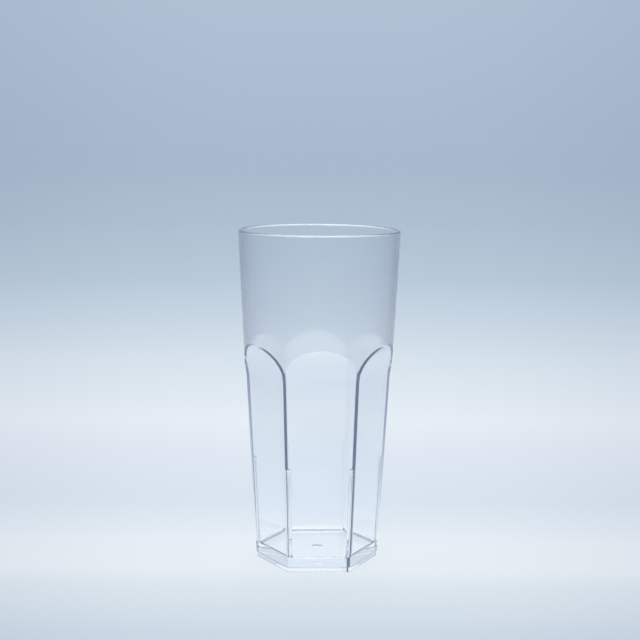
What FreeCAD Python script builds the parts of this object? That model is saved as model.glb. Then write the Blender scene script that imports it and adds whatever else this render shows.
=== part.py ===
import FreeCAD, Part
import math
import os

import Sketcher

# A clear moulded tumbler, one piece. Millimetres, +Z up, origin at the centre of the underside.
# The outside is a round cone with six flats pressed into it. Each flat scoops outwards at its
# top and runs out into the round band in an arch. The inside is the same form set in by the
# wall, so the cup is the outer form less the core form.
# The front flat faces -Y and two of the six corners lie on the X axis.

doc = FreeCAD.newDocument("tumbler")
sheet = doc.addObject("Spreadsheet::Sheet", "sizes")

SIZES = [
    ("total_height", 150.5, "underside to the top of the rim"),
    ("rim_radius", 36.25, "outside of the round band at the rim"),
    ("waist_height", 84.0, "height of the waist under the round band"),
    ("waist_radius", 32.40, "outside of a corner there"),
    ("flare_height", 7.0, "height of the flare from the waist to the foot of the band"),
    ("band_foot_radius", 33.30, "outside of the band at its foot"),
    ("foot_radius", 27.70, "outside of a corner at the underside"),
    ("flat_count", 6.0, "flats round the cup"),
    ("flat_apothem", 24.65, "middle of a flat from the axis, at the underside"),
    ("flat_lean", 2.40, "lean of a flat from upright, degrees"),
    ("scoop_rise", 0.50, "how far above the waist a flat starts to scoop outwards"),
    ("scoop_radius", 31.5, "radius of the scoop, outside"),
    ("core_scoop_radius", 31.2, "radius of the scoop, inside"),
    ("side_wall", 2.40, "wall of the flats"),
    ("band_wall", 2.00, "wall of the round band"),
    ("floor_height", 6.70, "thick floor"),
    ("foot_round", 0.80, "outer edge of the underside"),
    ("floor_round", 2.00, "inner edge of the floor"),
    ("lip_round", 0.85, "edges of the rim"),
    ("rib_height", 47.0, "top of the stacking ribs"),
    ("rib_width", 1.50, "stacking rib, across"),
    ("rib_stand", 1.40, "how far a rib stands in at its top"),
    ("rib_foot_stand", 0.90, "how far a rib stands in at its foot"),
    ("gate_pit_radius", 3.20, "dished pit round the gate mark"),
    ("gate_pit_depth", 0.50, "depth of that pit"),
    ("gate_mark_radius", 0.90, "gate mark left in the pit"),
    ("gate_mark_stand", 0.30, "how far the mark stands down in the pit"),
]
for row, (alias, value, meaning) in enumerate(SIZES, start=1):
    sheet.set("A%d" % row, alias)
    sheet.set("B%d" % row, str(value))
    sheet.setAlias("B%d" % row, alias)
    sheet.set("C%d" % row, meaning)
doc.recompute()

# How far a cutting profile runs past the solid that it cuts.
OVERRUN = 5.0


def origin_item(body, role):
    """The body's own origin plane or axis with this role."""
    return next(item for item in body.Origin.OriginFeatures if item.Role == role)


def sketch_on(body, name, role):
    """A sketch on one of the body's own origin planes."""
    sketch = body.newObject("Sketcher::SketchObject", name)
    sketch.AttachmentSupport = [(origin_item(body, role), "")]
    sketch.MapMode = "FlatFace"
    return sketch


def bind(sketch, constraint, formula):
    """Adds a dimension whose value comes from the sheet; formula uses the sheet's aliases."""
    index = sketch.addConstraint(constraint)
    sketch.setExpression("Constraints[%d]" % index, formula)


def outline(sketch, corners):
    """A closed outline of straight lines; a corner is (x, y, x formula, y formula)."""
    count = len(corners)
    for index in range(count):
        start, end = corners[index], corners[(index + 1) % count]
        sketch.addGeometry(Part.LineSegment(FreeCAD.Vector(start[0], start[1], 0),
                                            FreeCAD.Vector(end[0], end[1], 0)), False)
    for index in range(count):
        sketch.addConstraint(Sketcher.Constraint("Coincident", index, 2, (index + 1) % count, 1))
    for index, (across, up, across_formula, up_formula) in enumerate(corners):
        for kind, value, formula, axis in (("DistanceX", across, across_formula, -2),
                                           ("DistanceY", up, up_formula, -1)):
            if formula is None:
                sketch.addConstraint(Sketcher.Constraint("PointOnObject", index, 1, axis))
            else:
                bind(sketch, Sketcher.Constraint(kind, -1, 1, index, 1, value), formula)


def read(alias):
    """A size from the sheet."""
    return float(sheet.get(alias))


def core_corner(up):
    """Formula for how far out a sharp core corner lies, at a height given by a formula."""
    return ("(sizes.flat_apothem - sizes.side_wall + (%s) * tan(sizes.flat_lean))"
            " / cos(180 / sizes.flat_count)" % up)


def turned_blank(body, corners):
    """The round blank of a form: its outline turned about the upright axis."""
    sketch = sketch_on(body, body.Name + "_outline", "XZ_Plane")
    outline(sketch, corners)
    blank = body.newObject("PartDesign::Revolution", body.Name + "_blank")
    blank.Profile = sketch
    blank.ReferenceAxis = (sketch, ["V_Axis"])
    blank.Angle = 360.0
    doc.recompute()
    return blank


def round_copies(body, feature, name):
    """Repeats a cut once for each flat, evenly about the upright axis."""
    pattern = body.newObject("PartDesign::PolarPattern", name)
    pattern.Originals = [feature]
    pattern.Axis = (origin_item(body, "Z_Axis"), [""])
    pattern.Angle = 360.0
    pattern.setExpression("Occurrences", "sizes.flat_count")
    body.Tip = pattern
    doc.recompute()
    return pattern


def press_flats(body, inset, scoop_alias):
    """Cuts the flats with their scooped tops; inset is a formula for how far in they lie."""
    sketch = sketch_on(body, body.Name + "_press", "YZ_Plane")
    lean = math.radians(read("flat_lean"))
    apothem, scoop = read("flat_apothem"), read(scoop_alias)
    start = read("waist_height") + read("scoop_rise")
    away = read("rim_radius") + OVERRUN
    centre = FreeCAD.Vector(apothem + start * math.tan(lean) + scoop * math.cos(lean),
                            start - scoop * math.sin(lean), 0)
    foot = FreeCAD.Vector(apothem - OVERRUN * math.tan(lean), -OVERRUN, 0)
    bend = FreeCAD.Vector(apothem + start * math.tan(lean), start, 0)
    head = FreeCAD.Vector(away, centre.y + math.sqrt(scoop ** 2 - (centre.x - away) ** 2), 0)
    below = FreeCAD.Vector(away, -OVERRUN, 0)
    flat_line, scoop_arc, side_line, foot_line = range(4)
    sketch.addGeometry(Part.LineSegment(foot, bend), False)
    sketch.addGeometry(Part.ArcOfCircle(
        Part.Circle(centre, FreeCAD.Vector(0, 0, 1), scoop),
        math.atan2(head.y - centre.y, head.x - centre.x),
        math.atan2(bend.y - centre.y, bend.x - centre.x) % (2 * math.pi)), False)
    sketch.addGeometry(Part.LineSegment(head, below), False)
    sketch.addGeometry(Part.LineSegment(below, foot), False)
    sketch.addConstraint([
        Sketcher.Constraint("Tangent", scoop_arc, 2, flat_line, 2),
        Sketcher.Constraint("Coincident", scoop_arc, 1, side_line, 1),
        Sketcher.Constraint("Coincident", side_line, 2, foot_line, 1),
        Sketcher.Constraint("Coincident", foot_line, 2, flat_line, 1),
        Sketcher.Constraint("Vertical", side_line),
        Sketcher.Constraint("Horizontal", foot_line),
        Sketcher.Constraint("DistanceY", flat_line, 1, -1, 1, OVERRUN),
    ])
    bind(sketch, Sketcher.Constraint("DistanceX", -1, 1, flat_line, 1, foot.x),
         "sizes.flat_apothem - (%s) - %g * tan(sizes.flat_lean)" % (inset, OVERRUN))
    bind(sketch, Sketcher.Constraint("Angle", flat_line, math.pi / 2 - lean),
         "90 - sizes.flat_lean")
    bind(sketch, Sketcher.Constraint("Radius", scoop_arc, scoop),
         "sizes." + scoop_alias)
    bind(sketch, Sketcher.Constraint("DistanceY", -1, 1, scoop_arc, 3, centre.y),
         "sizes.waist_height + sizes.scoop_rise - sizes.%s * sin(sizes.flat_lean)" % scoop_alias)
    bind(sketch, Sketcher.Constraint("DistanceX", -1, 1, side_line, 1, away),
         "sizes.rim_radius + %g" % OVERRUN)

    cut = body.newObject("PartDesign::Pocket", body.Name + "_flat")
    cut.Profile = sketch
    cut.Type = "Length"
    cut.Midplane = True
    cut.setExpression("Length", "2 * sizes.rim_radius")
    doc.recompute()
    return round_copies(body, cut, body.Name + "_flats")


def edges_at(shape, height):
    """Names of the edges that lie all at one height."""
    names = []
    for index, edge in enumerate(shape.Edges, start=1):
        box = edge.BoundBox
        if abs(box.ZMin - height) < 1e-4 and abs(box.ZMax - height) < 1e-4:
            names.append("Edge%d" % index)
    return names


def round_edges(body, height, radius_alias):
    """Rounds every edge of a form that lies at this height."""
    base = body.Tip
    rounding = body.newObject("PartDesign::Fillet", body.Name + "_rounding")
    rounding.Base = (base, edges_at(base.Shape, height))
    rounding.setExpression("Radius", "sizes." + radius_alias)
    body.Tip = rounding
    doc.recompute()
    return rounding


def outer_form():
    """The outside of the cup as one solid, with the gate pit in its underside."""
    body = doc.addObject("PartDesign::Body", "outer_form")
    turned_blank(body, [
        (0, 0, None, None),
        (read("foot_radius"), 0, "sizes.foot_radius", None),
        (read("waist_radius"), read("waist_height"), "sizes.waist_radius", "sizes.waist_height"),
        (read("band_foot_radius"), read("waist_height") + read("flare_height"),
         "sizes.band_foot_radius", "sizes.waist_height + sizes.flare_height"),
        (read("rim_radius"), read("total_height"), "sizes.rim_radius", "sizes.total_height"),
        (0, read("total_height"), None, "sizes.total_height"),
    ])
    press_flats(body, "0", "scoop_radius")
    round_edges(body, 0.0, "foot_round")

    sketch = sketch_on(body, "gate_outline", "XZ_Plane")
    outline(sketch, [
        (0, 0, None, None),
        (read("gate_pit_radius"), 0, "sizes.gate_pit_radius", None),
        (read("gate_mark_radius"), read("gate_pit_depth"),
         "sizes.gate_mark_radius", "sizes.gate_pit_depth"),
        (read("gate_mark_radius"), read("gate_pit_depth") - read("gate_mark_stand"),
         "sizes.gate_mark_radius", "sizes.gate_pit_depth - sizes.gate_mark_stand"),
        (0, read("gate_pit_depth") - read("gate_mark_stand"),
         None, "sizes.gate_pit_depth - sizes.gate_mark_stand"),
    ])
    pit = body.newObject("PartDesign::Groove", "gate_pit")
    pit.Profile = sketch
    pit.ReferenceAxis = (sketch, ["V_Axis"])
    pit.Angle = 360.0
    body.Tip = pit
    doc.recompute()
    return body


def core_form():
    """The inside of the cup as one solid; its corner slots leave the stacking ribs."""
    body = doc.addObject("PartDesign::Body", "core_form")
    wall, floor, top = read("band_wall"), read("floor_height"), read("total_height")
    slope = (read("waist_radius") - read("foot_radius")) / read("waist_height")
    foot = read("foot_radius") - wall + slope * floor
    mouth = read("rim_radius") - wall
    turned_blank(body, [
        (0, floor, None, "sizes.floor_height"),
        (foot, floor, "sizes.foot_radius - sizes.band_wall + (sizes.waist_radius"
         " - sizes.foot_radius) * sizes.floor_height / sizes.waist_height", "sizes.floor_height"),
        (read("waist_radius") - wall, read("waist_height"),
         "sizes.waist_radius - sizes.band_wall", "sizes.waist_height"),
        (read("band_foot_radius") - wall, read("waist_height") + read("flare_height"),
         "sizes.band_foot_radius - sizes.band_wall", "sizes.waist_height + sizes.flare_height"),
        (mouth, top, "sizes.rim_radius - sizes.band_wall", "sizes.total_height"),
        (mouth, top + OVERRUN, "sizes.rim_radius - sizes.band_wall",
         "sizes.total_height + %g" % OVERRUN),
        (0, top + OVERRUN, None, "sizes.total_height + %g" % OVERRUN),
    ])
    press_flats(body, "sizes.side_wall", "core_scoop_radius")
    round_edges(body, floor, "floor_round")

    sketch = sketch_on(body, "rib_outline", "XZ_Plane")
    rib_top = read("rib_height")
    flat_in, lean = read("flat_apothem") - read("side_wall"), math.radians(read("flat_lean"))
    spread = 1 / math.cos(math.pi / read("flat_count"))
    foot_in = (flat_in + floor * math.tan(lean)) * spread - read("rib_foot_stand")
    top_in = (flat_in + rib_top * math.tan(lean)) * spread - read("rib_stand")
    foot_in_formula = core_corner("sizes.floor_height") + " - sizes.rib_foot_stand"
    top_in_formula = core_corner("sizes.rib_height") + " - sizes.rib_stand"
    out_formula = core_corner("sizes.rib_height") + " + %g" % OVERRUN
    outline(sketch, [
        (foot_in, floor - OVERRUN, foot_in_formula, "sizes.floor_height - %g" % OVERRUN),
        (top_in + OVERRUN, floor - OVERRUN, out_formula, "sizes.floor_height - %g" % OVERRUN),
        (top_in + OVERRUN, rib_top, out_formula, "sizes.rib_height"),
        (top_in, rib_top, top_in_formula, "sizes.rib_height"),
        (foot_in, floor, foot_in_formula, "sizes.floor_height"),
    ])
    slot = body.newObject("PartDesign::Pocket", "rib_slot")
    slot.Profile = sketch
    slot.Type = "Length"
    slot.Midplane = True
    slot.setExpression("Length", "sizes.rib_width")
    doc.recompute()
    round_copies(body, slot, "rib_slots")
    return body


def tumbler():
    """The cup: outer form less core form, with both edges of the rim rounded."""
    cup = doc.addObject("Part::Cut", "cup")
    cup.Base = outer_form()
    cup.Tool = core_form()
    doc.recompute()

    rounded = doc.addObject("Part::Fillet", "rounded_cup")
    rounded.Base = cup
    lip = read("lip_round")
    names = edges_at(cup.Shape, read("total_height"))
    rounded.Edges = [(int(name[len("Edge"):]), lip, lip) for name in names]
    rounded.Label = "tumbler"
    rounded.Placement = FreeCAD.Placement()
    doc.recompute()
    return rounded


PIECES = [tumbler()]

for item in doc.Objects:
    if "Invalid" in item.State or "Error" in item.State:
        raise RuntimeError("%s failed: %s" % (item.Label, item.State))
for piece in PIECES:
    if piece.Shape.isNull() or not piece.Shape.isValid() or len(piece.Shape.Solids) != 1:
        raise RuntimeError("%s is not one sound solid" % piece.Label)

# Each cut has to take something away.
steps = ["outer_form_blank", "outer_form_flats", "outer_form_rounding", "gate_pit",
         "core_form_blank", "core_form_flats", "core_form_rounding", "rib_slots"]
volumes = {name: doc.getObject(name).Shape.Volume for name in steps}
for before, after in zip(steps, steps[1:]):
    if after != "core_form_blank" and volumes[after] >= volumes[before]:
        raise RuntimeError("%s cut nothing from %s" % (after, before))

os.makedirs("parts", exist_ok=True)
for piece in PIECES:
    piece.Shape.exportStep(os.path.join("parts", piece.Label + ".step"))
    print(piece.Label, "volume", round(piece.Shape.Volume, 1), "mm3")
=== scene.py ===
import logging
import math
from dataclasses import dataclass
from enum import Enum
from typing import Any

import bpy
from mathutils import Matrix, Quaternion, Vector


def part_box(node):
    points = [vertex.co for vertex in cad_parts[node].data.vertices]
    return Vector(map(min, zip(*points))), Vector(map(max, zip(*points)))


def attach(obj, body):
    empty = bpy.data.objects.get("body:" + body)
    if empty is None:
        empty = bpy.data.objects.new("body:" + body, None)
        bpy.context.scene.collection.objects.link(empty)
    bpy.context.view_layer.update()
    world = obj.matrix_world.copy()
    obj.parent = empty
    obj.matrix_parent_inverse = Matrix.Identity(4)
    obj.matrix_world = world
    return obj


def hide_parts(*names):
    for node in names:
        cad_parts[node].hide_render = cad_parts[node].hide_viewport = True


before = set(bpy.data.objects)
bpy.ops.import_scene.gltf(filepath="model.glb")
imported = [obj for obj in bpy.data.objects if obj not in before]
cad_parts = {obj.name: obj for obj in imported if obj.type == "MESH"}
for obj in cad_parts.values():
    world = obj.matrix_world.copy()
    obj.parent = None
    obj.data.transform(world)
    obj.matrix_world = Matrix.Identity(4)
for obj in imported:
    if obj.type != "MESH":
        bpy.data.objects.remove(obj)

log = logging.getLogger("tumbler")

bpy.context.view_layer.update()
MM = 0.001
FLATS = 6
HALF_SECTOR = math.pi / FLATS
PICTURE_WIDTH = 640

Point = tuple[float, float, float]
Colour = tuple[float, float, float]
Row = list[Point]


def deselect_all() -> None:
    """Leaves nothing selected, so that an operator acts only on the piece in hand."""
    if bpy.context.object is not None and bpy.context.object.mode != "OBJECT":
        bpy.ops.object.mode_set(mode="OBJECT")
    bpy.ops.object.select_all(action="DESELECT")


def lerp(start: float, end: float, share: float) -> float:
    """A value between start and end."""
    return start + (end - start) * share


def between(start: Point, end: Point, share: float) -> Point:
    """A point on the straight line from start to end."""
    return tuple(lerp(a, b, share) for a, b in zip(start, end))


def polar(radius: float, turn: float, up: float) -> Point:
    """The point at a radius, a bearing and a height."""
    return (radius * math.cos(turn), radius * math.sin(turn), up)


def bearing(point: Point) -> float:
    """The bearing of a point about the cup's axis."""
    return math.atan2(point[1], point[0])


def moved_to(point: Point, radius: float, up: float) -> Point:
    """A point's bearing kept, at another radius and height."""
    reach = math.hypot(point[0], point[1])
    return (point[0] / reach * radius, point[1] / reach * radius, up)


def rounded_corner(start: Point, corner: Point, end: Point, steps: int) -> Row:
    """Points of the curve that rounds a corner and meets both of its legs.

    Args:
        start: where the rounding leaves the first leg.
        corner: the sharp corner.
        end: where the rounding joins the second leg.
        steps: how many spans the curve has.

    Returns:
        steps + 1 points, start and end among them.
    """
    points = []
    for index in range(steps + 1):
        share = index / steps
        points.append(between(between(start, corner, share), between(corner, end, share), share))
    return points


def rows_of(columns: list[Row]) -> list[Row]:
    """Columns of points, read across."""
    return [[column[row] for column in columns] for row in range(len(columns[0]))]


class Skin(Enum):
    """The two skins of the moulding."""

    OUTSIDE = "outside"
    INSIDE = "inside"


class Finish(Enum):
    """The finishes of the moulding, in the order of its material slots."""

    CLEAR = 0
    SATIN = 1


@dataclass
class CupForm:
    """The driving sizes of the cup, in millimetres, and the surfaces that follow from them.

    A sector is worked out in its own axes: out from the cup's axis through the middle of a
    flat, across the flat, and up.
    """

    height: float

    # The round band, and the cone of the corners below it.
    rim_radius: float = 36.25
    band_foot_height: float = 91.0
    band_foot_radius: float = 33.3
    waist_height: float = 84.0
    waist_radius: float = 32.4
    foot_radius: float = 27.7

    # The flats, and the scoops that carry them out into the band.
    flat_apothem: float = 24.12
    flat_lean: float = math.radians(2.75)
    scoop_start: float = 84.5
    scoop_radius: float = 31.9
    core_scoop_radius: float = 31.6
    scoop_limit: float = 0.98

    # The walls, the floor, and the ring round the foot that stands back a little.
    side_wall: float = 2.1
    band_wall: float = 2.0
    floor_height: float = 6.1
    ring_height: float = 2.4
    ring_step: float = 0.15
    ring_radius: float = 27.4

    # Roundings.
    foot_round: float = 0.45
    floor_round: float = 2.0
    lip_round: float = 0.85
    edge_round: float = 0.22
    corner_ease: float = 0.12
    crest_round: float = 0.8
    core_crest_round: float = 0.3

    # The stacking ribs in the inner corners.
    rib_height: float = 47.0
    rib_width: float = 1.5
    rib_stand: float = 1.4
    rib_foot_stand: float = 0.9
    rib_shoulder: float = 0.06

    # The gate pit under the foot, and the gate mark in it.
    pit_radius: float = 3.2
    pit_depth: float = 0.25
    mark_radius: float = 0.5
    mark_stand: float = 0.1
    mark_lead: float = 0.3
    mark_taper: float = 0.1

    # How finely the widest and the highest points of the arches are sought.
    search_step: float = 0.05
    search_levels: int = 200
    search_halvings: int = 40

    def inset(self, skin: Skin) -> float:
        """How far in a skin lies from the outside, below the band."""
        return self.side_wall if skin is Skin.INSIDE else 0.0

    def in_ring(self, skin: Skin, up: float) -> bool:
        """Whether a height lies on the ring round the foot."""
        return skin is Skin.OUTSIDE and up < self.ring_height

    def corner_radius(self, skin: Skin, up: float) -> float:
        """Radius of the round cone that a corner or the band lies on.

        Args:
            skin: the skin asked about.
            up: the height.

        Returns:
            The radius at that height.
        """
        wall = self.band_wall if skin is Skin.INSIDE else 0.0
        knees = [
            (0.0, self.foot_radius - wall),
            (self.waist_height, self.waist_radius - wall),
            (self.band_foot_height, self.band_foot_radius - wall),
            (self.height, self.rim_radius - wall),
        ]
        for (low, low_radius), (high, high_radius) in zip(knees, knees[1:]):
            if up <= high or high == self.height:
                return lerp(low_radius, high_radius, (up - low) / (high - low))
        return knees[-1][1]

    def flat_distance(self, skin: Skin, up: float) -> float:
        """Distance of a flat from the axis: straight, then scooped outwards.

        Args:
            skin: the skin asked about.
            up: the height.

        Returns:
            The distance at that height.
        """
        apothem = self.flat_apothem - self.inset(skin)
        if self.in_ring(skin, up):
            apothem -= self.ring_step
        start = self.scoop_start
        if up <= start:
            return apothem + up * math.tan(self.flat_lean)
        radius = self.core_scoop_radius if skin is Skin.INSIDE else self.scoop_radius
        centre_up = start - radius * math.sin(self.flat_lean)
        centre_out = apothem + start * math.tan(self.flat_lean) + radius * math.cos(self.flat_lean)
        rise = min(up - centre_up, self.scoop_limit * radius)
        return centre_out - math.sqrt(radius ** 2 - rise ** 2)

    def sharp_corner(self, skin: Skin, up: float) -> float:
        """How far out two flats would meet, at a height."""
        return self.flat_distance(skin, up) / math.cos(HALF_SECTOR)

    def strip_radius(self, skin: Skin, up: float) -> float:
        """Radius of the narrow strip that eases a corner.

        Args:
            skin: the skin asked about.
            up: the height.

        Returns:
            The radius at that height.
        """
        radius = min(self.corner_radius(skin, up), self.sharp_corner(skin, up) - self.corner_ease)
        if self.in_ring(skin, up):
            radius = min(radius, self.ring_radius)
        return radius

    def edge_across(self, skin: Skin, up: float) -> float:
        """Half the width of a flat at a height: where it meets the round of the corner."""
        radius = self.strip_radius(skin, up)
        return math.sqrt(max(0.0, radius ** 2 - self.flat_distance(skin, up) ** 2))

    def spring(self, skin: Skin) -> tuple[float, float]:
        """Where a flat is widest, and its arch starts to close.

        Args:
            skin: the skin asked about.

        Returns:
            Half its width there, and the height.
        """
        levels = [self.waist_height + step * self.search_step
                  for step in range(self.search_levels)]
        top = max(levels, key=lambda up: self.edge_across(skin, up))
        return self.edge_across(skin, top), top

    def crest(self, skin: Skin, across: float) -> float:
        """The height at which a flat runs out into the band.

        Args:
            skin: the skin asked about.
            across: how far from the middle of the flat.

        Returns:
            The height of the arch there.
        """
        low, high = self.spring(skin)[1], self.scoop_start + self.scoop_radius
        for _ in range(self.search_halvings):
            middle = (low + high) / 2
            out = math.hypot(self.flat_distance(skin, middle), across)
            if out < self.corner_radius(skin, middle):
                low = middle
            else:
                high = middle
        return low


@dataclass
class SkinGrid:
    """Half of one sector of a skin, as columns of points from the middle of the flat outwards."""

    form: CupForm
    skin: Skin

    # Columns across the flat and the strip, and spans over an edge, up the scoop and over a crest.
    flat_columns: int = 12
    strip_columns: int = 4
    round_steps: int = 4
    arch_steps: int = 16
    crest_steps: int = 4

    # How the columns crowd towards the corner and the crest, and how far a rounding may reach.
    flat_crowding: float = 0.9
    crest_crowding: float = 1.5
    strip_ease: float = 0.45
    spandrel_ease: float = 0.4
    rib_margin: float = 3.0
    rib_crowding: float = 0.6

    # Levels of the rows, in millimetres, and as shares of the ribs' and the band's height.
    foot_level: float = 1.2
    ring_offsets: tuple[float, ...] = (-0.35, -0.2, 0.02, 0.2)
    lower_levels: tuple[float, ...] = (4.0, 7.0, 12.0, 24.0, 40.0)
    rib_shares: tuple[float, ...] = (0.0, 0.1, 0.3, 0.6, 0.9, 1.0)
    over_rib: tuple[float, ...] = (0.02, 1.0)
    upper_levels: tuple[float, ...] = (56.0, 66.0, 76.0)
    band_shares: tuple[float, ...] = (0.03, 0.07, 0.12, 0.18, 0.26, 0.36, 0.48, 0.6, 0.73, 0.86,
                                      1.0)
    even_share: float = 0.36

    def column_count(self) -> int:
        """How many columns half a sector has."""
        return self.flat_columns + 1 + self.round_steps + self.strip_columns

    def corner_frame(self, along: float, aside: float) -> tuple[float, float]:
        """Turns a place given from the corner's own axis into the sector's axes."""
        out = along * math.cos(HALF_SECTOR) + aside * math.sin(HALF_SECTOR)
        return out, along * math.sin(HALF_SECTOR) - aside * math.cos(HALF_SECTOR)

    def plain_section(self, up: float) -> Row:
        """One row of points round the skin, with no rib.

        Args:
            up: the height.

        Returns:
            Points across the flat, over its edge and along the strip to the corner's middle.
        """
        form, skin = self.form, self.skin
        radius = form.strip_radius(skin, up)
        flat = form.flat_distance(skin, up)
        edge = form.edge_across(skin, up)
        strip_turn = HALF_SECTOR - math.atan2(edge, flat)
        ease = min(form.edge_round, self.strip_ease * radius * strip_turn)
        row = [(flat, (edge - ease) * self.flat_share(index), up)
               for index in range(self.flat_columns + 1)]
        turn = HALF_SECTOR - strip_turn + ease / radius
        landing = polar(radius, turn, up)
        row += rounded_corner(row[-1], (flat, edge, up), landing, self.round_steps)[1:]
        for index in range(1, self.strip_columns + 1):
            row.append(polar(radius, lerp(turn, HALF_SECTOR, index / self.strip_columns), up))
        return row

    def flat_share(self, index: int) -> float:
        """Where a flat's column lies, from 0 in the middle to 1 beside the corner."""
        share = index / self.flat_columns
        return math.sin(share * math.pi / 2) ** self.flat_crowding

    def ribbed_section(self, up: float) -> Row:
        """One row of points round the inside, with half of a stacking rib at the corner.

        Args:
            up: a height below the top of the ribs.

        Returns:
            As many points as a plain section has.
        """
        form, skin = self.form, self.skin
        row = self.plain_section(up)
        radius = form.strip_radius(skin, up)
        foot = form.sharp_corner(skin, form.floor_height) - form.rib_foot_stand
        top = form.sharp_corner(skin, form.rib_height) - form.rib_stand
        rise = (up - form.floor_height) / (form.rib_height - form.floor_height)
        face = lerp(foot, top, rise)
        half = form.rib_width / 2
        flat = form.flat_distance(skin, up)
        edge_aside = radius * math.sin(HALF_SECTOR - math.atan2(form.edge_across(skin, up), flat))
        wide = max(edge_aside, half) + self.rib_margin * form.edge_round

        def skin_along(aside: float) -> float:
            """How far out the plain skin lies, beside the corner's own axis."""
            if aside < edge_aside:
                return math.sqrt(radius ** 2 - aside ** 2)
            return (flat - aside * math.sin(HALF_SECTOR)) / math.cos(HALF_SECTOR)

        start = self.flat_columns
        last = len(row) - 1
        shoulder = half + form.rib_shoulder
        asides = [wide, lerp(wide, shoulder, self.rib_crowding), shoulder]
        for offset, aside in enumerate(asides):
            row[start + offset] = (*self.corner_frame(skin_along(aside), aside), up)
        side = start + len(asides)
        for index in range(side, last + 1):
            share = (index - side) / (last - side)
            row[index] = (*self.corner_frame(face, half * (1 - share)), up)
        for index in range(start):
            row[index] = (flat, row[start][1] * self.flat_share(index), up)
        return row

    def body_rows(self) -> list[Row]:
        """Rows from the foot of the skin up to the level where they start to follow the arch.

        Returns:
            The rows, lowest first.
        """
        form = self.form
        if self.skin is Skin.OUTSIDE:
            ring = tuple(form.ring_height + offset for offset in self.ring_offsets)
            levels = (form.foot_round, self.foot_level, *ring, *self.lower_levels)
            rows = []
        else:
            start = form.floor_height + form.floor_round
            rows = [self.ribbed_section(lerp(start, form.rib_height, share))
                    for share in self.rib_shares]
            levels = tuple(form.rib_height + offset for offset in self.over_rib)
        for up in (*levels, *self.upper_levels, form.waist_height):
            rows.append(self.plain_section(up))
        return rows

    def arch_columns(self) -> Row:
        """For each column, where it crosses the arch and comes onto the band.

        Returns:
            One point for each column.
        """
        form, skin = self.form, self.skin
        across, up = form.spring(skin)
        spandrel = form.corner_radius(skin, up) * math.sin(HALF_SECTOR) - across
        ease = min(form.edge_round, self.spandrel_ease * spandrel)
        crests: Row = []
        for index in range(self.flat_columns + 1):
            start = (across - ease) * self.flat_share(index)
            level = form.crest(skin, start)
            crests.append((form.flat_distance(skin, level), start, level))
        up = crests[-1][2]
        radius = form.corner_radius(skin, up)
        first_turn = bearing(crests[-1])
        rest = self.column_count() - len(crests)
        for index in range(1, rest + 1):
            share = (index / rest) ** self.crest_crowding
            crests.append(polar(radius, lerp(first_turn, HALF_SECTOR, share), up))
        return crests

    def scoop_point(self, point: Point, crest: Point, up: float, blend: float,
                    on_flat: bool) -> Point:
        """A point on the way up a scoop or the strip beside it.

        Args:
            point: the point of the plain section in the same column.
            crest: where the column crosses the arch.
            up: the height.
            blend: how far the column has swung from the one to the other.
            on_flat: whether the column runs up the flat.

        Returns:
            The point on the skin.
        """
        form, skin = self.form, self.skin
        if on_flat:
            return (form.flat_distance(skin, up), lerp(point[1], crest[1], blend), up)
        reach = math.hypot(point[0], point[1])
        return polar(lerp(reach, form.corner_radius(skin, up), blend),
                     lerp(bearing(point), bearing(crest), blend), up)

    def arch_rows(self, below: Row) -> list[Row]:
        """Rows that rise over the scoop to the arch and round its edge.

        Args:
            below: the last row of the body.

        Returns:
            Rows up to the foot of the band, all along the arch.
        """
        form, skin = self.form, self.skin
        columns: list[Row] = []
        spring = form.spring(skin)[1]
        ease = form.core_crest_round if skin is Skin.INSIDE else form.crest_round
        for index, crest in enumerate(self.arch_columns()):
            column: Row = []
            for step in range(1, self.arch_steps + 1):
                share = step / self.arch_steps
                up = lerp(below[index][2], crest[2] - ease, share)
                point = self.plain_section(min(up, spring))[index]
                column.append(self.scoop_point(point, crest, up, share ** 2,
                                               index <= self.flat_columns))
            high = crest[2] + ease
            landing = polar(form.corner_radius(skin, high), bearing(crest), high)
            column += rounded_corner(column[-1], crest, landing, self.crest_steps)[1:]
            columns.append(column)
        return rows_of(columns)

    def band_rows(self, foot: Row) -> list[Row]:
        """Rows of the round band, whose columns spread to even bearings on the way up.

        Args:
            foot: the last row along the arches.

        Returns:
            Rows up to where the lip starts to round.
        """
        top = self.form.height - self.form.lip_round
        rows = []
        last = len(foot) - 1
        for share in self.band_shares:
            spread = min(1.0, share / self.even_share)
            spread = spread * spread * (3 - 2 * spread)
            row = []
            for index, point in enumerate(foot):
                up = lerp(point[2], top, share)
                turn = lerp(bearing(point), HALF_SECTOR * index / last, spread)
                row.append(polar(self.form.corner_radius(self.skin, up), turn, up))
            rows.append(row)
        return rows

    def band_count(self) -> int:
        """How many of the top rows make up the band, the one along the arches among them."""
        return len(self.band_shares) + 1

    def rows(self) -> list[Row]:
        """All rows of the skin from its foot to the lip."""
        body = self.body_rows()
        arch = self.arch_rows(body[-1])
        return body + arch + self.band_rows(arch[-1])


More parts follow.
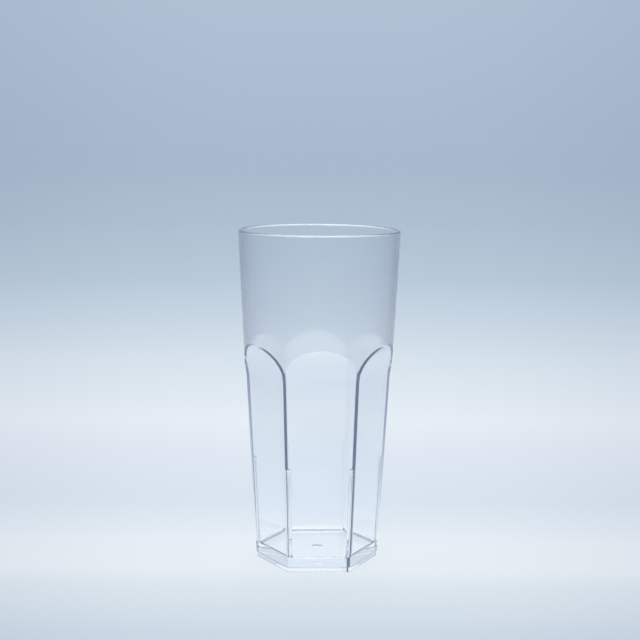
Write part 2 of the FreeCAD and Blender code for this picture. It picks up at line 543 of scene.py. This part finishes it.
@dataclass
class Tumbler:
    """The whole cup, one moulding: two skins, a lip, a floor and an underside."""

    form: CupForm
    outer_band: range = range(0)
    inner_band: range = range(0)

    # Spans over each half of the lip and over the roundings of the foot and the floor.
    lip_steps: int = 6
    closing_steps: int = 5

    # How far rows lie on the way to the pit and to the floor's middle, and the pit's bowl as
    # shares of its radius and its depth.
    under_shares: tuple[float, ...] = (0.3, 0.6, 0.85)
    floor_shares: tuple[float, ...] = (0.3, 0.6, 0.85, 1.0)
    bowl: tuple[tuple[float, float], ...] = ((1.0, 0.0), (0.85, 0.08), (0.65, 0.38), (0.45, 0.74))
    bowl_end: float = 0.97

    # Distances at which points count as one, in metres, and the pull of large faces on normals.
    mirror_weld: float = 1e-6
    weld: float = 2e-6
    normal_weight: int = 60

    def lip_rows(self, outer: Row, inner: Row) -> list[Row]:
        """Rows over the lip.

        Args:
            outer: the last row of the outside.
            inner: the last row of the inside.

        Returns:
            The rows between them, from the outside in.
        """
        form, steps = self.form, self.lip_steps
        level = form.height - form.lip_round
        outer_centre = form.corner_radius(Skin.OUTSIDE, level) - form.lip_round
        inner_centre = form.corner_radius(Skin.INSIDE, level) + form.lip_round
        rows: list[Row] = []
        for step in range(1, 2 * steps + 1):
            if step <= steps:
                turn = step / steps * math.pi / 2
                radius = outer_centre + form.lip_round * math.cos(turn)
                up = level + form.lip_round * math.sin(turn)
            else:
                turn = (step - steps - 1) / steps * math.pi / 2
                radius = inner_centre - form.lip_round * math.sin(turn)
                up = level + form.lip_round * math.cos(turn)
            share = step / (2 * steps + 1)
            rows.append([polar(radius, lerp(bearing(first), bearing(last), share), up)
                         for first, last in zip(outer, inner)])
        return rows

    def closing_rows(self, wall: Row, section: Row, ease: float, level: float) -> list[Row]:
        """Rows that round the foot of a skin onto the flat below it.

        Args:
            wall: the lowest row of the skin.
            section: the same row, carried down to the flat's level.
            ease: how far the rounding reaches.
            level: the height of the flat.

        Returns:
            Rows from beside the wall to the rounding's end on the flat.
        """
        columns = []
        for side, corner in zip(wall, section):
            share = 1 - ease / math.hypot(corner[0], corner[1])
            landing = (corner[0] * share, corner[1] * share, level)
            columns.append(rounded_corner(side, corner, landing, self.closing_steps)[1:])
        return rows_of(columns)

    def gate_rows(self, outline: Row) -> list[Row]:
        """Rows across the underside, through the pit and up to the gate mark.

        Args:
            outline: the row at the edge of the flat underside.

        Returns:
            Rows from beside it to the axis.
        """
        form = self.form
        rows = [[moved_to(point, lerp(math.hypot(point[0], point[1]), form.pit_radius, share), 0.0)
                 for point in outline] for share in self.under_shares]
        profile = [(form.pit_radius * out, form.pit_depth * deep) for out, deep in self.bowl]
        mark_top = form.pit_depth - form.mark_stand
        profile += [
            (form.mark_radius + form.mark_lead, form.pit_depth * self.bowl_end),
            (form.mark_radius, form.pit_depth),
            (form.mark_radius - form.mark_taper, mark_top),
            (0.0, mark_top),
        ]
        for radius, up in profile:
            rows.append([moved_to(point, radius, up) for point in outline])
        return rows

    def floor_rows(self, outline: Row) -> list[Row]:
        """Rows across the top of the floor to the axis, from the row at its edge."""
        return [[(point[0] * (1 - share), point[1] * (1 - share), self.form.floor_height)
                 for point in outline] for share in self.floor_shares]

    def grid(self) -> list[Row]:
        """Every row of half a sector, and which of them make up the band.

        Returns:
            Rows from the gate mark round the cup to the middle of the floor.
        """
        form = self.form
        outside = SkinGrid(form, Skin.OUTSIDE)
        inside = SkinGrid(form, Skin.INSIDE)
        outer = outside.rows()
        inner = inside.rows()
        under = self.closing_rows(outer[0], outside.plain_section(0.0), form.foot_round, 0.0)
        floor = self.closing_rows(inner[0], inside.ribbed_section(form.floor_height),
                                  form.floor_round, form.floor_height)
        rows = [*reversed(self.gate_rows(under[-1])), *reversed(under), *outer]
        self.outer_band = range(len(rows) - outside.band_count(), len(rows))
        rows += self.lip_rows(outer[-1], inner[-1])
        self.inner_band = range(len(rows), len(rows) + inside.band_count())
        return [*rows, *reversed(inner), *floor, *self.floor_rows(floor[-1])]

    def lay(self, rows: list[Row]) -> bpy.types.Object:
        """Adds a flat grid and shapes it into half a sector.

        Args:
            rows: the rows of half a sector.

        Returns:
            The new object.
        """
        wide, tall = len(rows[0]), len(rows)
        deselect_all()
        bpy.ops.mesh.primitive_grid_add(x_subdivisions=wide - 1, y_subdivisions=tall - 1, size=1.0)
        cup = bpy.context.object
        cup.name = "clear_tumbler"
        if len(cup.data.vertices) != wide * tall:
            raise ValueError("the grid has %d points, not %d"
                             % (len(cup.data.vertices), wide * tall))
        places: list[float] = []
        for row in rows:
            for out, across, up in row:
                places += [across * MM, -out * MM, up * MM]
        cup.data.vertices.foreach_set("co", places)
        cup.data.update()
        return cup

    def dress(self, mesh: bpy.types.Mesh, wide: int) -> None:
        """Gives the half sector its finishes and marks the points of the band's two skins.

        Args:
            mesh: the half sector.
            wide: how many points a row has.
        """
        for material in (ClearPlastic().material(), SatinPlastic().material()):
            mesh.materials.append(material)
        first, last = self.outer_band[0], self.outer_band[-1]
        for index in range(first * (wide - 1), last * (wide - 1)):
            mesh.polygons[index].material_index = Finish.SATIN.value
        band = mesh.attributes.new("band_side", "INT", "POINT")
        sides = [0] * len(mesh.vertices)
        for members, mark in ((self.outer_band, 1), (self.inner_band, -1)):
            for index in range(members[0] * wide, (members[-1] + 1) * wide):
                sides[index] = mark
        band.data.foreach_set("value", sides)

    def close(self, cup: bpy.types.Object) -> None:
        """Mirrors the half sector, turns it round the axis and welds the cup into one skin."""
        mirror = cup.modifiers.new("other_half", "MIRROR")
        mirror.use_axis = (True, False, False)
        mirror.use_clip = False
        mirror.merge_threshold = self.mirror_weld
        bpy.ops.object.modifier_apply(modifier=mirror.name)

        bpy.ops.object.mode_set(mode="EDIT")
        bpy.ops.mesh.select_all(action="SELECT")
        bpy.ops.mesh.spin(steps=FLATS - 1, dupli=True, angle=2 * math.pi * (FLATS - 1) / FLATS,
                          center=(0, 0, 0), axis=(0, 0, 1))
        bpy.ops.mesh.select_all(action="SELECT")
        bpy.ops.mesh.remove_doubles(threshold=self.weld)
        bpy.ops.mesh.dissolve_degenerate(threshold=self.mirror_weld)
        bpy.ops.mesh.normals_make_consistent(inside=False)
        bpy.ops.object.mode_set(mode="OBJECT")

    def smooth(self, cup: bpy.types.Object) -> None:
        """Shades the cup smoothly, with its flats even and its band truly round."""
        bpy.ops.object.shade_smooth()
        even = cup.modifiers.new("even_normals", "WEIGHTED_NORMAL")
        even.mode = "FACE_AREA"
        even.weight = self.normal_weight
        even.keep_sharp = True
        bpy.ops.object.modifier_apply(modifier=even.name)
        self.true_band(cup.data)

    def true_band(self, mesh: bpy.types.Mesh) -> None:
        """Gives the band's points the exact normals of its two cones."""
        sides = [0] * len(mesh.vertices)
        mesh.attributes["band_side"].data.foreach_get("value", sides)
        normals = [tuple(corner.vector) for corner in mesh.corner_normals]
        for index, loop in enumerate(mesh.loops):
            side = sides[loop.vertex_index]
            if side == 0:
                continue
            skin = Skin.OUTSIDE if side > 0 else Skin.INSIDE
            point = mesh.vertices[loop.vertex_index].co
            up = point.z / MM
            slope = (self.form.corner_radius(skin, up + 0.5)
                     - self.form.corner_radius(skin, up - 0.5))
            reach = math.hypot(point.x, point.y)
            normal = Vector((point.x / reach, point.y / reach, -slope)).normalized() * side
            normals[index] = tuple(normal)
        mesh.normals_split_custom_set(normals)

    def build(self) -> bpy.types.Object:
        """Makes the cup from one half sector.

        Returns:
            The finished cup, at the origin.
        """
        rows = self.grid()
        cup = self.lay(rows)
        self.dress(cup.data, len(rows[0]))
        self.close(cup)
        self.smooth(cup)
        return cup


class Socket:
    """Wraps a node's output, so that shader maths reads as plain expressions."""

    def __init__(self, tree: bpy.types.NodeTree, output: bpy.types.NodeSocket) -> None:
        """Keeps the tree and the output."""
        self.tree = tree
        self.output = output

    def maths(self, operation: str, other: Any = None, swapped: bool = False) -> "Socket":
        """Adds one Math node.

        Args:
            operation: what the node does.
            other: a number or a socket to do it with, if it takes one.
            swapped: whether the other comes first.

        Returns:
            The node's result.
        """
        node = self.tree.nodes.new("ShaderNodeMath")
        node.operation = operation
        first, second = (1, 0) if swapped else (0, 1)
        self.tree.links.new(self.output, node.inputs[first])
        if isinstance(other, Socket):
            self.tree.links.new(other.output, node.inputs[second])
        elif other is not None:
            node.inputs[second].default_value = other
        return Socket(self.tree, node.outputs[0])

    def __add__(self, other: Any) -> "Socket":
        """This plus other."""
        return self.maths("ADD", other)

    __radd__ = __add__

    def __mul__(self, other: Any) -> "Socket":
        """This times other."""
        return self.maths("MULTIPLY", other)

    __rmul__ = __mul__

    def __sub__(self, other: Any) -> "Socket":
        """This less other."""
        return self.maths("SUBTRACT", other)

    def __rsub__(self, other: Any) -> "Socket":
        """Other less this."""
        return self.maths("SUBTRACT", other, swapped=True)

    def __truediv__(self, other: Any) -> "Socket":
        """This over other."""
        return self.maths("DIVIDE", other)

    def __rtruediv__(self, other: Any) -> "Socket":
        """Other over this."""
        return self.maths("DIVIDE", other, swapped=True)

    def at_least(self, other: Any) -> "Socket":
        """The larger of this and other."""
        return self.maths("MAXIMUM", other)

    def at_most(self, other: Any) -> "Socket":
        """The smaller of this and other."""
        return self.maths("MINIMUM", other)


class Tree:
    """Adds nodes to a material or world through one method."""

    def __init__(self, tree: bpy.types.NodeTree) -> None:
        """Empties the tree and keeps it."""
        self.tree = tree
        tree.nodes.clear()

    def add(self, kind: str, settings: dict[str, Any] | None = None,
            **values: Any) -> bpy.types.Node:
        """Adds a node.

        Args:
            kind: the node's type name.
            settings: attributes and, under "stops", a ramp's stops, set before the sockets.
            **values: socket name, with _ for a space, or i and its number, to a value or a
                Socket.

        Returns:
            The new node.
        """
        node = self.tree.nodes.new(kind)
        for name, value in (settings or {}).items():
            if name == "stops":
                ramp = node.color_ramp
                while len(ramp.elements) < len(value):
                    ramp.elements.new(0.5)
                for element, (place, colour) in zip(ramp.elements, value):
                    element.position = place
                    element.color = (*colour, 1.0)
            else:
                setattr(node, name, value)
        for name, value in values.items():
            socket = node.inputs[int(name[1:]) if name[0] == "i" and name[1:].isdigit()
                                 else name.replace("_", " ")]
            if isinstance(value, Socket):
                self.tree.links.new(value.output, socket)
            elif isinstance(value, bpy.types.NodeSocket):
                self.tree.links.new(value, socket)
            else:
                socket.default_value = value
        return node

    def socket(self, node: bpy.types.Node, name: str | int = 0) -> Socket:
        """One output of a node, wrapped."""
        return Socket(self.tree, node.outputs[name])

    def noise(self, scale: float, detail: float, roughness: float) -> Socket:
        """Noise that stays put on the object.

        Args:
            scale: its fineness.
            detail: how many finer layers lie on it.
            roughness: how strong those layers are.

        Returns:
            A value about 0.5.
        """
        coords = self.add("ShaderNodeTexCoord")
        node = self.add("ShaderNodeTexNoise", {"noise_dimensions": "3D"},
                        Vector=coords.outputs["Object"], Scale=scale, Detail=detail,
                        Roughness=roughness)
        return self.socket(node, "Fac")

    def blend(self, share: Socket, first: Any, second: Any) -> bpy.types.NodeSocket:
        """Mixes two colours, from the first at a share of 0 to the second at 1."""
        node = self.add("ShaderNodeMix", {"data_type": "RGBA"}, Factor=share, i6=first, i7=second)
        return node.outputs[2]

    def grey_ramp(self, stops: list[tuple[float, float]], place: Socket) -> Socket:
        """A value that follows stops of place and level."""
        node = self.add("ShaderNodeValToRGB", {"stops": [
            (at, (level, level, level)) for at, level in stops]}, Fac=place)
        return self.socket(node)


def linear(colour: Colour) -> Colour:
    """A screen colour, 0 to 255, as the linear values that Blender works in.

    Args:
        colour: red, green and blue.

    Returns:
        The same, from 0 to 1.
    """
    shares = [value / 255 for value in colour]
    return tuple(share / 12.92 if share <= 0.04045 else ((share + 0.055) / 1.055) ** 2.4
                 for share in shares)


@dataclass(frozen=True)
class ClearPlastic:
    """Clear, colourless moulded plastic with a polished skin.

    The moulding's flow leaves faint waves in the skin. A faint painted glow, blue emission all over
    the skin, stands in for the little blue light that the thick corners lead along the wall.
    """

    index: float = 1.57
    tint: Colour = (0.971, 0.968, 0.95)
    clearness: float = 0.98
    flow_scale: float = 45.0
    flow_relief: float = 0.03
    flow_depth: float = 0.0004
    wear_scale: float = 160.0
    wear: float = 0.02
    # painted glow: blue emission that stands in for light led along the wall
    painted_glow_colour: Colour = (0.6, 0.85, 1.3)
    painted_glow_strength: float = 0.031

    def material(self) -> bpy.types.Material:
        """Builds the finish."""
        material = bpy.data.materials.new("clear_plastic_finish")
        material.use_nodes = True
        tree = Tree(material.node_tree)
        bump = tree.add("ShaderNodeBump", Strength=self.flow_relief, Distance=self.flow_depth,
                        Height=tree.noise(self.flow_scale, 1.0, 0.4))
        rough = tree.noise(self.wear_scale, 3.0, 0.6) * self.wear
        shader = tree.add("ShaderNodeBsdfPrincipled", Base_Color=(*self.tint, 1.0), IOR=self.index,
                          Transmission_Weight=self.clearness, Roughness=rough,
                          Emission_Color=(*self.painted_glow_colour, 1.0),
                          Emission_Strength=self.painted_glow_strength, Normal=bump.outputs["Normal"])
        tree.add("ShaderNodeOutputMaterial", Surface=shader.outputs[0])
        return material


@dataclass(frozen=True)
class SatinPlastic:
    """The same plastic where the mould is finely etched: the outside of the round band."""

    index: float = 1.57
    tint: Colour = (0.972, 0.981, 0.99)
    clearness: float = 0.97
    roughness: float = 0.17
    wear_scale: float = 90.0
    wear: float = 0.04

    def material(self) -> bpy.types.Material:
        """Builds the finish."""
        material = bpy.data.materials.new("satin_band_finish")
        material.use_nodes = True
        tree = Tree(material.node_tree)
        rough = (tree.noise(self.wear_scale, 3.0, 0.6) * self.wear
                 + (self.roughness - self.wear / 2))
        shader = tree.add("ShaderNodeBsdfPrincipled", Base_Color=(*self.tint, 1.0), IOR=self.index,
                          Transmission_Weight=self.clearness, Roughness=rough)
        tree.add("ShaderNodeOutputMaterial", Surface=shader.outputs[0])
        return material


@dataclass
class Studio:
    """Floor, backdrop light, lamps and camera.

    Depth runs along the line of view, from the cup away from the camera. Colours are screen
    colours; what looks past the cup or through it sees them, and the cup itself is lit by the
    lamps and a plain pale world.
    """

    # The camera, in metres and radians.
    camera_distance: float = 0.5952
    camera_height: float = 0.1951
    camera_aside: float = 0.00055
    focal_pixels: float = 1336.3
    sensor_width: float = 36.0
    cup_turn: float = math.radians(2.6)
    pitch: float = math.radians(8.161)
    roll: float = math.radians(0.466)

    # The room's dark sides, which also paint shade on the floor's sides and ahead of the cup, and
    # how much of the backdrop's light is left at a bearing, in degrees from the line of view.
    dark: Colour = (94, 106, 142)
    bearing_shares: tuple[tuple[float, float], ...] = (
        (0.0, 1.0), (4, 1.0), (8, 0.97), (12.7, 0.9), (20, 0.8), (27, 0.66), (36, 0.4),
        (44, 0.15), (60, 0.03), (95, 0.0), (120, 0.3), (140, 0.6), (180, 0.75))

    # The backdrop's colours by the sine of the angle above the floor, and the share of them that
    # the camera sees at the sides.
    air: tuple[tuple[float, Colour], ...] = (
        (0.0, (170, 187, 208)), (0.12, (178, 195, 214)), (0.24, (200, 214, 229)),
        (0.3, (220, 230, 241)), (0.6, (242, 247, 252)), (1.0, (215, 225, 235)))
    overhead_slope: float = 5.0
    overhead_start: float = 0.75
    air_side_share: float = 0.75

    # The plain world that lights the cup.
    plain_air: Colour = (0.8, 0.85, 0.9)
    plain_strength: float = 0.6

    # The floor: its place, its glow colours by depth in metres, which paint the light's falloff,
    # and the painted shade ahead of the cup.
    floor_size: float = 30.0
    floor_level: float = -0.00015
    ground: tuple[tuple[float, Colour], ...] = (
        (-0.20, (188, 203, 217)), (-0.103, (202, 216, 229)), (-0.04, (222, 232, 240)),
        (-0.02, (232, 240, 247)), (0.02, (232, 240, 247)), (0.093, (216, 228, 240)),
        (0.178, (222, 231, 242)), (0.289, (230, 238, 246)), (0.525, (214, 226, 236)),
        (0.765, (199, 214, 228)), (1.13, (184, 202, 218)), (2.2, (174, 193, 211)),
        (5.1, (170, 187, 208)))
    ahead_shares: tuple[tuple[float, float], ...] = (
        (-0.9, 0.15), (-0.5, 0.2), (-0.37, 0.27), (-0.28, 0.45), (-0.2, 0.68), (-0.15, 0.85),
        (-0.1, 1.0))
    seen_from: float = 0.6
    through_from: float = 0.24
    floor_side_share: float = 0.72
    floor_strength: float = 0.93
    paper: Colour = (0.05, 0.052, 0.055)
    plain_floor: Colour = (0.8, 0.82, 0.85)

    # The small pool of light that the clear foot gathers on the floor behind it, painted into the
    # floor's glow.
    pool_depth: float = 0.031
    pool_squeeze: float = 0.55
    pool_peak: float = 1.3
    pool_slope: float = 75.0
    pool_share: float = 0.6

    # The soft boxes: name, place, size and power; and the point that they are turned to.
    soft_boxes: tuple[tuple[str, Point, float, float], ...] = (
        ("over_light", (0.0, 0.5, 1.1), 0.8, 9.0), ("front_light", (-0.5, -1.0, 1.1), 0.5, 4.0))
    lit_point: Point = (0, 0, 0.08)

    def falloff(self, tree: Tree, across: Socket, depth: Socket) -> Socket:
        """How much of the backdrop's light is left at a bearing from the line of view.

        Args:
            tree: the tree to add to.
            across: sideways part of the bearing.
            depth: its part along the line of view.

        Returns:
            A share from 1 in the middle towards 0 at the sides.
        """
        turn = across.maths("ABSOLUTE").maths("ARCTAN2", depth) * (1 / math.pi)
        return tree.grey_ramp([(angle / 180, share) for angle, share in self.bearing_shares], turn)

    def along_view(self, tree: Tree, place: bpy.types.NodeSocket) -> bpy.types.Node:
        """Splits a place or direction, turned so that Y runs along the line of view."""
        turned = tree.add("ShaderNodeVectorRotate", {"rotation_type": "Z_AXIS"}, Vector=place,
                          Angle=self.cup_turn)
        return tree.add("ShaderNodeSeparateXYZ", Vector=turned.outputs["Vector"])

    def rays(self, tree: Tree) -> tuple[Socket, Socket]:
        """Tells rays apart.

        Args:
            tree: the tree to add to.

        Returns:
            Whether a ray comes from the camera, and whether from it, a shine or a see-through.
        """
        path = tree.add("ShaderNodeLightPath")
        camera = tree.socket(path, "Is Camera Ray")
        seen = (camera + tree.socket(path, "Is Glossy Ray")
                + tree.socket(path, "Is Transmission Ray")).at_most(1.0)
        return camera, seen

    def world(self) -> None:
        """Plain soft light for the object, and a pale gradient for what looks past it."""
        world = bpy.data.worlds.new("studio_air")
        bpy.context.scene.world = world
        world.use_nodes = True
        tree = Tree(world.node_tree)
        coords = tree.add("ShaderNodeTexCoord")
        split = self.along_view(tree, coords.outputs["Generated"])
        up = tree.socket(split, "Z")
        ramp = tree.add("ShaderNodeValToRGB", {"stops": [
            (at, linear(colour)) for at, colour in self.air]}, Fac=up)
        camera, seen = self.rays(tree)
        around = self.falloff(tree, tree.socket(split, "X"), tree.socket(split, "Y"))
        overhead = (up * self.overhead_slope - self.overhead_start).at_least(0.0).at_most(1.0)
        share = around.at_least(overhead).at_least(camera * self.air_side_share)
        shown = tree.blend(share, (*linear(self.dark), 1.0), ramp.outputs["Color"])
        plain = tree.add("ShaderNodeBackground", Color=(*self.plain_air, 1.0),
                         Strength=self.plain_strength)
        look = tree.add("ShaderNodeBackground", Color=shown, Strength=1.0)
        mix = tree.add("ShaderNodeMixShader", Fac=seen, i1=plain.outputs[0], i2=look.outputs[0])
        tree.add("ShaderNodeOutputWorld", Surface=mix.outputs[0])

    def ground_colour(self, tree: Tree, depth: Socket) -> bpy.types.NodeSocket:
        """The floor's glow colour at a depth, with the light's falloff painted in.

        Args:
            tree: the tree to add to.
            depth: the place along the line of view.

        Returns:
            The colour, from a ramp whose near stretch, where it changes most, is widened.
        """
        low, high = self.ground[0][0], self.ground[-1][0]
        place = ((depth - low).at_least(0.0) / (high - low)).maths("POWER", 0.5)
        ramp = tree.add("ShaderNodeValToRGB", {"stops": [
            (math.sqrt((at - low) / (high - low)), linear(colour))
            for at, colour in self.ground]}, Fac=place)
        return ramp.outputs["Color"]

    def pool(self, across: Socket, depth: Socket) -> Socket:
        """How much of the painted pool of gathered light falls on a place of the floor."""
        aside = across * self.pool_squeeze
        behind = depth - self.pool_depth
        reach = (aside * aside + behind * behind).maths("POWER", 0.5)
        return (self.pool_peak - reach * self.pool_slope).at_least(0.0).at_most(self.pool_share)

    def floor(self) -> None:
        """A wide pale floor that glows with painted light and shade, its colour running into the
        backdrop.
        """
        deselect_all()
        bpy.ops.mesh.primitive_plane_add(size=self.floor_size, location=(0, 0, self.floor_level))
        floor = bpy.context.object
        floor.name = "studio_floor"
        bpy.ops.object.transform_apply(location=True, rotation=True, scale=True)
        material = bpy.data.materials.new("pale_floor")
        material.use_nodes = True
        tree = Tree(material.node_tree)
        coords = tree.add("ShaderNodeTexCoord")
        split = self.along_view(tree, coords.outputs["Object"])
        across, depth = tree.socket(split, "X"), tree.socket(split, "Y")
        ground = self.ground_colour(tree, depth)
        ahead = tree.grey_ramp([(1 + at, share) for at, share in self.ahead_shares], depth + 1.0)
        camera, seen = self.rays(tree)
        around = self.falloff(tree, across, depth + self.seen_from)
        through = self.falloff(tree, across, depth + self.through_from)
        # painted shade: the glow darkens ahead of the cup and towards the sides
        share = (through * ahead).at_least(camera * around.at_least(self.floor_side_share))
        shown = tree.blend(share, (*linear(self.dark), 1.0), ground)
        # painted light: the pool whitens the floor's glow behind the foot
        shown = tree.blend(self.pool(across, depth), shown, (1.0, 1.0, 1.0, 1.0))
        glow = tree.add("ShaderNodeEmission", Color=shown, Strength=self.floor_strength)
        paper = tree.add("ShaderNodeBsdfDiffuse", Color=(*self.paper, 1.0))
        both = tree.add("ShaderNodeAddShader", i0=glow.outputs[0], i1=paper.outputs[0])
        plain = tree.add("ShaderNodeBsdfDiffuse", Color=(*self.plain_floor, 1.0))
        mix = tree.add("ShaderNodeMixShader", Fac=seen, i1=plain.outputs[0], i2=both.outputs[0])
        tree.add("ShaderNodeOutputMaterial", Surface=mix.outputs[0])
        floor.data.materials.append(material)

    def lamps(self) -> None:
        """Two wide soft boxes."""
        for name, place, size, energy in self.soft_boxes:
            light = bpy.data.lights.new(name, "AREA")
            light.shape = "SQUARE"
            light.size = size
            light.energy = energy
            lamp = bpy.data.objects.new(name, light)
            bpy.context.collection.objects.link(lamp)
            lamp.location = place
            aim = Vector(self.lit_point) - Vector(place)
            lamp.rotation_euler = aim.to_track_quat("-Z", "Y").to_euler()

    def camera(self) -> None:
        """The photograph's viewpoint: a little above the rim, looking slightly down.

        The cup keeps its own axes, so the camera walks round it by the cup's turn instead.
        """
        data = bpy.data.cameras.new("viewpoint")
        data.sensor_width = self.sensor_width
        data.lens = self.focal_pixels * data.sensor_width / PICTURE_WIDTH
        data.clip_start = 0.01
        data.clip_end = 100.0
        camera = bpy.data.objects.new("viewpoint", data)
        bpy.context.collection.objects.link(camera)
        walk = Quaternion((0, 0, 1), -self.cup_turn)
        camera.location = walk @ Vector((self.camera_aside, -self.camera_distance,
                                         self.camera_height))
        aim = walk @ Vector((0, math.cos(self.pitch), -math.sin(self.pitch)))
        camera.rotation_mode = "QUATERNION"
        camera.rotation_quaternion = aim.to_track_quat("-Z", "Y") @ Quaternion((0, 0, 1), self.roll)
        bpy.context.scene.camera = camera

    def build(self) -> None:
        """Sets the whole stage."""
        self.world()
        self.floor()
        self.lamps()
        self.camera()


def main() -> None:
    """Builds the cup and its stage in order."""
    logging.basicConfig(level=logging.INFO, format="%(message)s")
    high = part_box("tumbler")[1]
    cup = Tumbler(CupForm(height=high[2] / MM)).build()
    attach(cup, "root")
    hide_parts("tumbler")
    log.info("%s has %d faces", cup.name, len(cup.data.polygons))
    Studio().build()
    bpy.context.scene.view_settings.view_transform = "Standard"


if __name__ == "__main__":
    main()
